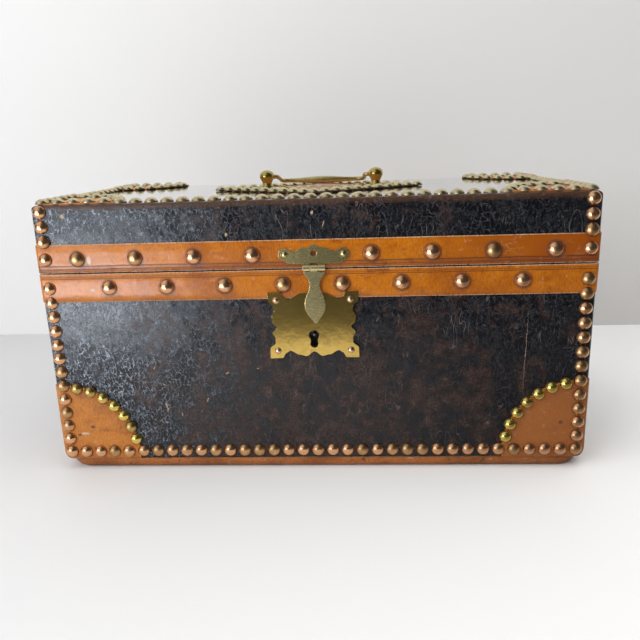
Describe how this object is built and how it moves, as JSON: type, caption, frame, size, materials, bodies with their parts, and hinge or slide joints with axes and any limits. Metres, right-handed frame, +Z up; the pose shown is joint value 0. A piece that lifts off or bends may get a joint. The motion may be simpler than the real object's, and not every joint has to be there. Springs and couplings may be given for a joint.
{
  "type": "leather document box",
  "caption": "Oblong leather covered box with a hinged lid, tan straps and patches, domed nails, a folding bail handle, and a brass hasp that closes over a bolt lock.",
  "frame": {"origin": "centre of the underside of the bottom board, on the floor", "axes": "+X across the front towards the box's right as seen from the front, +Y from the front to the back, +Z up; the lock faces -Y"},
  "size_m": [0.371, 0.209, 0.2008],
  "materials": {
    "black_leather": "blue-black crackled leather with a low sheen, worn brown in places and scratched to pale chips",
    "tan_leather": "orange-brown tan leather with tooled lines near its edges, scuffed and darkened by handling",
    "pine": "plain softwood boards, unvarnished",
    "lining_paper": "aged laid paper, matte",
    "copper_nails": "coppery brass nail heads, rubbed bright on top and dark round the rim",
    "brass_nails": "yellow brass nail heads, lightly tarnished",
    "old_brass": "aged brass plate, olive in the shade, with tarnish in the corners",
    "brass_fittings": "turned and pressed brass, satin",
    "iron": "dull grey iron with a brown film"
  },
  "bodies": {
    "case": {"bottom_board": "pine", "base_edging": "tan_leather", "case_front_board": "pine", "case_back_board": "pine", "case_left_board": "pine", "case_right_board": "pine", "case_leather": "black_leather", "case_strap": "tan_leather", "case_patch_front_left": "tan_leather", "case_patch_front_right": "tan_leather", "case_patch_back_left": "tan_leather", "case_patch_back_right": "tan_leather", "case_edge_nails": "copper_nails", "case_patch_nails": "brass_nails", "case_strap_nails": "copper_nails", "case_wall_lining": "lining_paper", "case_floor_lining": "lining_paper", "lock_plate": "old_brass", "lock_plate_pins": "brass_fittings", "lock_case": "iron", "lock_cap": "iron", "lock_screws": "iron", "lock_drill_pin": "iron", "hinge_case_leaf_left": "brass_fittings", "hinge_case_leaf_right": "brass_fittings", "hinge_pins": "iron", "hinge_case_screws": "brass_fittings"},
    "lid": {"hinge_lid_leaf_left": "brass_fittings", "hinge_lid_leaf_right": "brass_fittings", "hinge_lid_screws": "brass_fittings", "lid_top_board": "pine", "lid_front_rail": "pine", "lid_back_rail": "pine", "lid_left_rail": "pine", "lid_right_rail": "pine", "lid_leather": "black_leather", "lid_strap": "tan_leather", "lid_patch_front_left": "tan_leather", "lid_patch_front_right": "tan_leather", "lid_patch_back_left": "tan_leather", "lid_patch_back_right": "tan_leather", "handle_patch": "tan_leather", "lid_edge_nails": "copper_nails", "lid_patch_nails": "brass_nails", "lid_strap_nails": "copper_nails", "lid_wall_lining": "lining_paper", "lid_ceiling_lining": "lining_paper", "handle_rose_left": "old_brass", "handle_rose_right": "old_brass", "handle_rose_pins": "brass_fittings", "handle_post_left": "brass_fittings", "handle_post_right": "brass_fittings", "handle_nuts": "brass_fittings", "hasp_leaf": "old_brass", "hasp_leaf_pins": "brass_fittings", "hasp_hinge_pin": "old_brass"},
    "handle": {"handle_bail": "old_brass"},
    "hasp": {"hasp_tongue": "old_brass", "hasp_staple": "brass_fittings"},
    "lock_bolt": {"lock_bolt": "iron"}
  },
  "joints": [
    {"name": "lid_hinge", "type": "hinge", "parent": "case", "child": "lid", "pos_m": [0, 0.1025, 0.1413], "axis": [-1, 0, 0], "range_deg": [0, 100]},
    {"name": "hasp_hinge", "type": "hinge", "parent": "lid", "child": "hasp", "pos_m": [0.0015, -0.1019, 0.1422], "axis": [-1, 0, 0], "range_deg": [0, 170]},
    {"name": "handle_pivot", "type": "hinge", "parent": "lid", "child": "handle", "pos_m": [0.0025, 0, 0.1958], "axis": [1, 0, 0], "range_deg": [0, 197]},
    {"name": "lock_bolt_slide", "type": "slide", "parent": "case", "child": "lock_bolt", "axis": [1, 0, 0], "range_m": [0, 0.005]}
  ]
}
